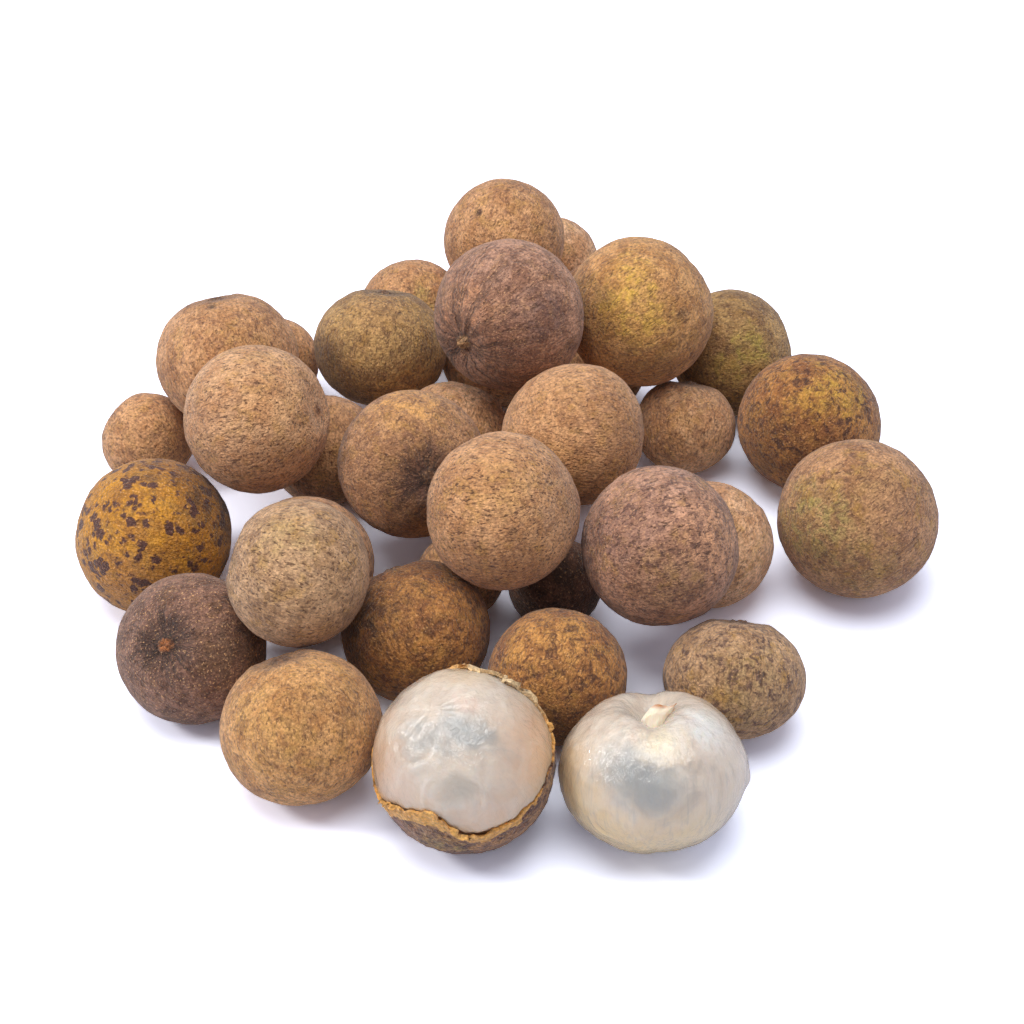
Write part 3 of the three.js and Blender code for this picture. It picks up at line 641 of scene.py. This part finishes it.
def peel_cup(centre, turn):
    """Peel torn open: a thin cup round the stem end, its ragged edge curled a little outwards."""
    bpy.ops.object.select_all(action="DESELECT")
    bpy.ops.mesh.primitive_uv_sphere_add(segments=240, ring_count=112, radius=1)
    piece = bpy.context.object
    piece.name = piece.data.name = "opened_peel_cup"
    bpy.ops.object.mode_set(mode="EDIT")
    bpy.ops.mesh.select_all(action="SELECT")
    bpy.ops.mesh.bisect(plane_co=(0, 0, 1e-4), plane_no=(0, 0, 1), clear_inner=True)
    bpy.ops.object.mode_set(mode="OBJECT")
    rim = piece.data.attributes.new("from_rim", "FLOAT", "POINT")
    lower_left = facing(centre, turn, -0.45, -0.85)
    right_side = facing(centre, turn, 0.95, -0.25)
    flaps = facing(centre, turn, 0.45, 0.85)
    for vertex in piece.data.vertices:
        at = vertex.co.normalized()
        share = math.acos(max(-1, min(1, at.z))) / (math.pi / 2)
        round_cup = math.atan2(at.x, -at.y)
        reach = math.pi - torn_edge(round_cup)
        angle = share * reach
        gap = (1 - share) * reach * PEEL_RADIUS
        way = Vector((math.sin(angle) * math.sin(round_cup), -math.sin(angle) * math.cos(round_cup),
                      math.cos(angle)))
        curl = RIM_CURL * math.exp(-((gap / CURL_REACH) ** 2))
        curl *= max(0, way.dot(lower_left), way.dot(flaps)) ** 2
        curl *= 1 + 0.6 * noise.noise(Vector((at.x, at.y, 0)) * 6)
        rim.data[vertex.index].value = gap / MM + BAND_NARROWS * max(0, way.dot(right_side)) ** 2
        vertex.co = Vector((way.x, way.y, way.z * OPENED_TALL)) * PEEL_RADIUS + way * curl
    piece.data.update()
    set_down(piece, centre, turn)
    unevenness(piece, PEEL_RELIEF)
    wall = piece.modifiers.new("wall", "SOLIDIFY")
    wall.thickness = PEEL_THICKNESS
    wall.offset = -1
    wall.material_offset = 1
    wall.material_offset_rim = 1
    apply_modifiers(piece)
    cut_at_floor(piece)
    outside = rind("leathery_peel", dict(
        tones=("#b98d63", "#7c5746", "#4c3130"), blotch=0.85, spots=0.75, sheen=0.3, torn=2.7, patches=[
            (-0.75, -0.6, 5, "#7a5560", 0.7), (-0.25, -0.9, 4, "#8a8048", 0.7),
            (-0.5, -0.8, 4, "#a98c78", 0.6), (0.3, -0.95, 6, "#9a6a3c", 0.6)],
    ), centre, turn, OPENED_WIDTH / 2)
    finish_piece(piece, "opened_peel", "peel", outside, peel_lining(centre))


def peel_lining(centre):
    """Lining of the peel, a torn fibrous pith: golden tan, streaked along the tear, matt."""
    material, tree, output = new_material("torn_pith_lining")
    mm = millimetres(tree, centre, Quaternion())
    fibres = add(tree, "ShaderNodeTexNoise", {
        "Scale": 1 / PITH_FIBRES, "Detail": 4, "Roughness": 0.65, "Distortion": 1.2}, {"Vector": mm})
    ramp = add(tree, "ShaderNodeMapRange", {"From Min": 0.35, "From Max": 0.65}, {0: fibres.outputs["Fac"]})
    tone = add(tree, "ShaderNodeMix", {
        "data_type": "RGBA", MIX_A: colour("#a8692a"), MIX_B: colour("#e2b06a")}, {0: ramp.outputs[0]})
    relief = add(tree, "ShaderNodeBump", {"Strength": 1, "Distance": 0.15 * MM},
                 {"Height": fibres.outputs["Fac"]})
    surface = add(tree, "ShaderNodeBsdfPrincipled", {
        "Roughness": 0.6, "IOR": 1.45, "Subsurface Weight": 0.25, "Subsurface Scale": 1 * MM,
    }, {"Base Color": tone.outputs[MIXED], "Normal": relief.outputs[0]})
    tree.links.new(surface.outputs[0], output.inputs[0])
    return material


def wet_flesh(name, centre, turn, across, patches, streaks):
    """Fresh longan flesh, a wet translucent jelly: milky white, with soft glints on its fine
    membranes, painted grey shade where the dark seed shows through, and a painted cream glow where light
    shines through."""
    material, tree, output = new_material(name)
    mm = millimetres(tree, centre, turn)
    cloudy = add(tree, "ShaderNodeTexNoise", {
        "Scale": 1 / MILK, "Detail": 4, "Roughness": 0.6, "Distortion": 0.8}, {"Vector": mm})
    milk = add(tree, "ShaderNodeMapRange", {"From Min": 0.35, "From Max": 0.65}, {0: cloudy.outputs["Fac"]})
    shade = add(tree, "ShaderNodeMix", {
        "data_type": "RGBA", MIX_A: colour("#e0d0bf"), MIX_B: colour("#efe4d5")},
        {0: milk.outputs[0]}).outputs[MIXED]
    # Patches of painted light and shade: pale ones a glow of light through the flesh, grey ones the seed's
    # shade
    near = strayed(tree, mm, cloudy, MILK_STRAY)
    for sideways, up, size, tint, strength in patches:
        spot = facing(centre, turn, sideways, up) * (across / MM)
        shade = add(tree, "ShaderNodeMix", {"data_type": "RGBA", MIX_B: colour(tint)}, {
            0: patch(tree, near, spot, size, strength, 0.2, 1.3), MIX_A: shade}).outputs[MIXED]

    # Membranes: fine lines that run from the stem end, and crumpled glints
    direction = add(tree, "ShaderNodeVectorMath", {"operation": "NORMALIZE"}, {0: mm})
    lines = add(tree, "ShaderNodeMapping", {"Scale": (14, 14, 1.4)}, {"Vector": direction.outputs[0]})
    fibres = add(tree, "ShaderNodeTexNoise", {"Scale": 1.4, "Detail": 3, "Roughness": 0.6},
                 {"Vector": lines.outputs[0]})
    creases = add(tree, "ShaderNodeMapping", {
        "Scale": (1 / CREASE_WIDTH, 1 / CREASE_WIDTH, 1 / CREASE_LENGTH)}, {"Vector": mm})
    crumple = add(tree, "ShaderNodeTexNoise", {
        "Scale": 1, "Detail": 3, "Roughness": 0.6, "Distortion": 1.2}, {"Vector": creases.outputs[0]})
    vein = add(tree, "ShaderNodeMapRange", {"From Min": 0.5, "From Max": 0.72, "To Max": 3 * streaks},
               {0: fibres.outputs["Fac"]})
    veined = add(tree, "ShaderNodeMix", {"data_type": "RGBA", MIX_B: colour("#b9b6ae")},
                 {0: vein.outputs[0], MIX_A: shade})
    along = add(tree, "ShaderNodeBump", {"Strength": 1, "Distance": streaks * MM},
                {"Height": fibres.outputs["Fac"]})
    glints = add(tree, "ShaderNodeBump", {"Strength": 1, "Distance": 0.12 * MM},
                 {"Height": crumple.outputs["Fac"], "Normal": along.outputs[0]})
    film = add(tree, "ShaderNodeBump", {"Strength": 1, "Distance": 0.24 * MM},
               {"Height": crumple.outputs["Fac"]})
    surface = add(tree, "ShaderNodeBsdfPrincipled", {
        "Roughness": 0.3, "IOR": 1.4, "Subsurface Weight": 1, "Subsurface Radius": (1, 0.85, 0.7),
        "Subsurface Scale": 4 * MM, "Transmission Weight": 0.12,
        "Coat Weight": 1, "Coat Roughness": 0.08, "Coat IOR": 1.75,
    }, {"Base Color": veined.outputs[MIXED], "Normal": glints.outputs[0], "Coat Normal": film.outputs[0]})
    tree.links.new(surface.outputs[0], output.inputs[0])
    return material


def swell(way):
    """How much the opened flesh swells where the peel no longer holds it, as a share of its radius."""
    past_rim = torn_edge(math.atan2(way.x, -way.y)) - math.acos(max(-1, min(1, -way.z)))
    share = max(0, min(1, math.degrees(past_rim) / SWELL_STEP + 0.4))
    return SWELL * share * share * (3 - 2 * share)


def fold(at, middle, radius, width, height):
    """Height of a curved fold round a middle on the surface, or of a mound where it has no radius."""
    away = (at - middle).length
    broken = 0.35 + 1.4 * noise.noise(at * 260 + Vector((5, 1, 3))) if radius else 1
    crest = math.exp(-(((away - radius) / width) ** 2))
    hollow = 0.5 * math.exp(-(((away - radius + 2.1 * width) / (1.3 * width)) ** 2)) if radius else 0
    return height * max(0, broken) * (crest - hollow)


def flesh(node, across, along, notch, centre, turn, material, folds, swells=False, cleft=0):
    """Flesh: a round body with a notch at the stem end and a round hollow for the seed."""
    piece = ball(node + "_body", 7, across, along)
    depth, reach = notch
    creases = [(facing(centre, turn, sideways, up) * across, *shape) for sideways, up, *shape in folds]

    def dip(at):
        radius = math.hypot(at.x, at.y)
        sink = 0
        if at.z > 0:
            sink = depth * math.exp(-((radius / reach) ** 2))
            sink += cleft * math.exp(-((at.x / CLEFT_WIDTH) ** 2) - (at.y / CLEFT_LENGTH) ** 2)
        angle = math.atan2(at.y, at.x)
        ring = Vector((math.cos(angle) * 2.6, math.sin(angle) * 2.6, at.z * 60))
        seam = SEAM_HEIGHT * noise.noise(ring * 1.7) * min(1, radius / (3 * MM))
        bulge = swell(at.normalized()) * across if swells else 0
        bulge += sum(fold(at.normalized() * across, *crease) for crease in creases)
        return at + Vector((0, 0, -sink)) + at.normalized() * (seam + bulge)
    reshape(piece, dip)
    set_down(piece, centre, turn)
    unevenness(piece, FLESH_RELIEF)
    cut_at_floor(piece)
    bpy.ops.object.mode_set(mode="EDIT")
    bpy.ops.mesh.select_all(action="DESELECT")
    bpy.ops.mesh.primitive_ico_sphere_add(subdivisions=5, radius=SEED_RADIUS + CLEARANCE, location=centre)
    bpy.ops.mesh.flip_normals()
    bpy.ops.object.mode_set(mode="OBJECT")
    finish_piece(piece, node, "flesh", material)


def seed_coat(name, centre, turn):
    """Longan seed coat, hard and naturally polished: near black, with a pale scar at the stem end."""
    material, tree, output = new_material(name)
    mm = millimetres(tree, centre, turn)
    height = add(tree, "ShaderNodeSeparateXYZ", {}, {0: mm})
    grain = add(tree, "ShaderNodeTexNoise", {"Scale": 1 / SEED_GRAIN, "Detail": 3}, {"Vector": mm})
    brown = add(tree, "ShaderNodeMix", {
        "data_type": "RGBA", MIX_A: colour("#120c0a"), MIX_B: colour("#2c1a12")}, {0: grain.outputs["Fac"]})
    scar = add(tree, "ShaderNodeMapRange", {"From Min": 5.6, "From Max": 5.9}, {0: height.outputs["Z"]})
    shade = add(tree, "ShaderNodeMix", {"data_type": "RGBA", MIX_B: colour("#cdbb98")},
                {0: scar.outputs[0], MIX_A: brown.outputs[MIXED]})
    relief = add(tree, "ShaderNodeBump", {"Strength": 0.5, "Distance": 0.05 * MM},
                 {"Height": grain.outputs["Fac"]})
    surface = add(tree, "ShaderNodeBsdfPrincipled", {"Roughness": 0.22, "IOR": 1.5}, {
        "Base Color": shade.outputs[MIXED], "Normal": relief.outputs[0]})
    tree.links.new(surface.outputs[0], output.inputs[0])
    return material


def seed(node, centre, turn):
    """Round seed with the flat scar where it grew from the stalk."""
    piece = ball(node + "_coat", 5, SEED_RADIUS, SEED_RADIUS * 0.99)
    bpy.ops.object.mode_set(mode="EDIT")
    bpy.ops.mesh.select_all(action="SELECT")
    bpy.ops.mesh.bisect(
        plane_co=(0, 0, SEED_RADIUS * 0.9), plane_no=(0, 0, 1), use_fill=True, clear_outer=True)
    bpy.ops.mesh.inset(thickness=0.5 * MM)
    bpy.ops.transform.translate(value=(0, 0, 0.15 * MM))
    bpy.ops.object.mode_set(mode="OBJECT")
    set_down(piece, centre, turn)
    finish_piece(piece, node, "seed", seed_coat("polished_seed_coat_" + node[:6], centre, turn))


def stalk_fibre(name, centre, turn, tip):
    """Torn stalk tissue, dry and fibrous: matt cream, scorched orange-brown at its tip."""
    material, tree, output = new_material(name)
    mm = millimetres(tree, centre, turn)
    drawn_out = add(tree, "ShaderNodeMapping", {"Scale": (2.4, 2.4, 0.5)}, {"Vector": mm})
    strands = add(tree, "ShaderNodeTexNoise", {"Scale": 1, "Detail": 4, "Roughness": 0.6},
                  {"Vector": drawn_out.outputs[0]})
    cream = add(tree, "ShaderNodeMix", {
        "data_type": "RGBA", MIX_A: colour("#ead9b4"), MIX_B: colour("#fffaf0")},
        {0: strands.outputs["Fac"]})
    height = add(tree, "ShaderNodeSeparateXYZ", {}, {0: mm})
    burnt = add(tree, "ShaderNodeMapRange", {"From Min": tip / MM - 0.6, "From Max": tip / MM},
                {0: height.outputs["Z"]})
    shade = add(tree, "ShaderNodeMix", {"data_type": "RGBA", MIX_B: colour("#b5713a")},
                {0: burnt.outputs[0], MIX_A: cream.outputs[MIXED]})
    relief = add(tree, "ShaderNodeBump", {"Strength": 1, "Distance": 0.12 * MM},
                 {"Height": strands.outputs["Fac"]})
    surface = add(tree, "ShaderNodeBsdfPrincipled", {
        "Roughness": 0.65, "IOR": 1.45, "Subsurface Weight": 0.3, "Subsurface Scale": 1 * MM,
    }, {"Base Color": shade.outputs[MIXED], "Normal": relief.outputs[0]})
    tree.links.new(surface.outputs[0], output.inputs[0])
    return material


def stalk_tissue(node, centre, turn, top, width):
    """A torn strand from the seed out through the notch, flattened and ragged at its end."""
    bottom = SEED_RADIUS + CLEARANCE
    bpy.ops.object.select_all(action="DESELECT")
    bpy.ops.mesh.primitive_cone_add(
        vertices=64, radius1=1.1 * MM, radius2=0.8 * MM, depth=top - bottom,
        location=(0, 0, (top + bottom) / 2), end_fill_type="TRIFAN")
    piece = bpy.context.object
    piece.name = piece.data.name = node + "_strand"
    bpy.ops.object.mode_set(mode="EDIT")
    bpy.ops.mesh.select_all(action="SELECT")
    bpy.ops.mesh.subdivide(number_cuts=9)
    bpy.ops.object.mode_set(mode="OBJECT")
    bpy.ops.object.transform_apply(location=True, rotation=True, scale=True)

    def tear(at):
        share = (at.z - bottom) / (top - bottom)
        spread = 1 + (width - 1) * math.sin(math.pi * min(1, share * 1.1) * 0.75)
        ragged = 1.4 * MM * noise.noise(at * 700) * share
        lean = (width - 1) * 1.6 * MM * share ** 2
        return Vector((at.x * spread + lean, at.y * (1 - 0.2 * share), at.z + ragged + 0.3 * at.x * share))
    reshape(piece, tear)
    set_down(piece, centre, turn)
    unevenness(piece, STRAND_RELIEF)
    finish_piece(piece, node, "stalk_tissue", stalk_fibre("torn_stalk_fibre_" + node[:6], centre, turn, top))


def body_middle(node):
    """Middle of a CAD node's box, which for a seed is the middle of its fruit too."""
    low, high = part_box(node)
    return (low + high) / 2


def opened_fruit():
    """The fruit in its torn peel: a warm painted glow round the flesh, and painted grey shade where the seed
    shows.
    """
    centre, turn = body_middle("opened_seed"), stem_turn(*OPENED_STEM)
    across = OPENED_WIDTH / 2 - PEEL_THICKNESS - CLEARANCE
    along = across * OPENED_TALL
    peel_cup(centre, turn)
    # The cream and peach patches are a painted glow of light through the flesh, most of them round its edge;
    # the grey ones are painted shade of the seed showing through
    white = wet_flesh("wet_flesh_opened", centre, turn, across, [
        (-0.95, -0.1, 9, "#deb896", 0.8), (0.9, 0.1, 10, "#f2c79e", 0.9), (0.35, -0.85, 9, "#efc79e", 0.85),
        (-0.4, -0.75, 7, "#eccdaa", 0.7), (0.0, 0.95, 6, "#f0d8b4", 0.6), (-0.5, 0.2, 4, "#98a5aa", 0.55),
        (-0.12, 0.32, 4.5, "#8f9ca2", 0.6), (0.14, 0.26, 3.5, "#98a5aa", 0.5),
        (-0.1, -0.32, 3.5, "#b2b6ac", 0.45), (0.02, 0.6, 2.4, "#efbaa6", 0.45),
    ], 0.06)
    flesh("opened_flesh", across, along, (1 * MM, 3.2 * MM), centre, turn, white, [
        (-0.5, 0.2, 3.5 * MM, 0.35 * MM, 0.42 * MM),
        (-0.12, -0.42, 4.4 * MM, 0.3 * MM, 0.22 * MM)], swells=True)
    seed("opened_seed", centre, turn)
    stalk_tissue("opened_stalk_tissue", centre, turn, along - 1 * MM, 1)


def peeled_fruit():
    """The fruit without its peel: a painted cream glow, and painted grey shade where the seed shows."""
    centre, turn = body_middle("peeled_seed"), stem_turn(*PEELED_STEM)
    across = PEELED_WIDTH / 2
    along = across * PEELED_TALL
    # The cream and white patches are painted light glowing through the flesh, most of them round its edge;
    # the grey ones are painted shade of the seed showing through
    white = wet_flesh("wet_flesh_peeled", centre, turn, across, [
        (-0.95, -0.1, 8, "#d9be94", 0.85), (0.0, -0.95, 11, "#f2d79c", 0.9), (-0.6, -0.7, 9, "#f0d59c", 0.85),
        (0.5, -0.75, 9, "#f0dcae", 0.8),
        (0.9, -0.3, 6, "#efe2c8", 0.6), (-0.36, 0.0, 5, "#98a3a8", 0.5), (-0.1, -0.12, 6, "#8f9ba1", 0.55),
        (0.16, -0.2, 5, "#98a3a8", 0.45), (0.03, 0.36, 4.5, "#fbeed0", 0.8),
        (0.55, 0.55, 6, "#fffaf4", 0.9),
    ], 0.14)
    flesh("peeled_flesh", across, along, (3.6 * MM, 4.6 * MM), centre, turn, white, [
        (1.0, -0.03, 0, 1.4 * MM, 0.36 * MM), (-0.45, -0.6, 3 * MM, 0.35 * MM, 0.2 * MM)], cleft=2.6 * MM)
    seed("peeled_seed", centre, turn)
    stalk_tissue("peeled_stalk_tissue", centre, turn, along - 1.7 * MM, 2.4)


# Studio

def softbox(name, direction, distance, size, power, tint):
    """A round soft light that lies in a direction from the heap and faces it."""
    light = bpy.data.lights.new(name, "AREA")
    light.shape = "DISK"
    light.size = size
    light.energy = power
    light.color = colour(tint)[:3]
    lamp = bpy.data.objects.new(name, light)
    lamp.location = Vector(direction).normalized() * distance
    lamp.rotation_euler = Vector(direction).to_track_quat("Z", "Y").to_euler()
    bpy.context.scene.collection.objects.link(lamp)


def studio():
    """White card, a small bright light on the left that the wet flesh glints in, a large soft one
    overhead, and a pale room."""
    bpy.ops.object.select_all(action="DESELECT")
    bpy.ops.mesh.primitive_plane_add(size=6)
    floor = bpy.context.object
    floor.name = "floor"
    material, tree, output = new_material("white_card")
    seen = add(tree, "ShaderNodeLightPath")
    tone = add(tree, "ShaderNodeMix", {"data_type": "RGBA", MIX_A: colour("#dcdce6"), MIX_B: OVEREXPOSED},
               {0: seen.outputs["Is Camera Ray"]})
    card = add(tree, "ShaderNodeBsdfDiffuse", {}, {"Color": tone.outputs[MIXED]})
    tree.links.new(card.outputs[0], output.inputs[0])
    floor.data.materials.append(material)
    softbox("key", direction=(-0.74, -0.14, 0.66), distance=0.8, size=0.18, power=2.0, tint="#fffaf4")
    softbox("overhead", direction=(-0.05, -0.05, 1), distance=0.9, size=0.8, power=5.9, tint="#fffdfa")
    world = bpy.data.worlds.new("pale_room")
    bpy.context.scene.world = world
    world.use_nodes = True
    world.node_tree.nodes.clear()
    tree = world.node_tree
    seen = add(tree, "ShaderNodeLightPath")
    level = add(tree, "ShaderNodeMapRange", {"To Min": ROOM_LIGHT, "To Max": ROOM_SEEN},
                {0: seen.outputs["Is Camera Ray"]})
    room = add(tree, "ShaderNodeBackground", {"Color": colour("#f2f3ff")}, {"Strength": level.outputs[0]})
    output = add(tree, "ShaderNodeOutputWorld")
    tree.links.new(room.outputs[0], output.inputs[0])
    bpy.context.scene.view_settings.view_transform = "Standard"


def camera():
    data = bpy.data.cameras.new("camera")
    data.sensor_width = SENSOR_WIDTH
    data.lens = LENS
    eye = bpy.data.objects.new("camera", data)
    eye.location = camera_place()
    eye.rotation_euler = (math.pi / 2 - CAMERA_ELEVATION, 0, 0)
    bpy.context.scene.collection.objects.link(eye)
    bpy.context.scene.camera = eye


camera()
studio()
for order, (fruit, fruit_look) in enumerate(FRUITS.items()):
    whole_fruit(fruit, fruit_look, order)
opened_fruit()
peeled_fruit()
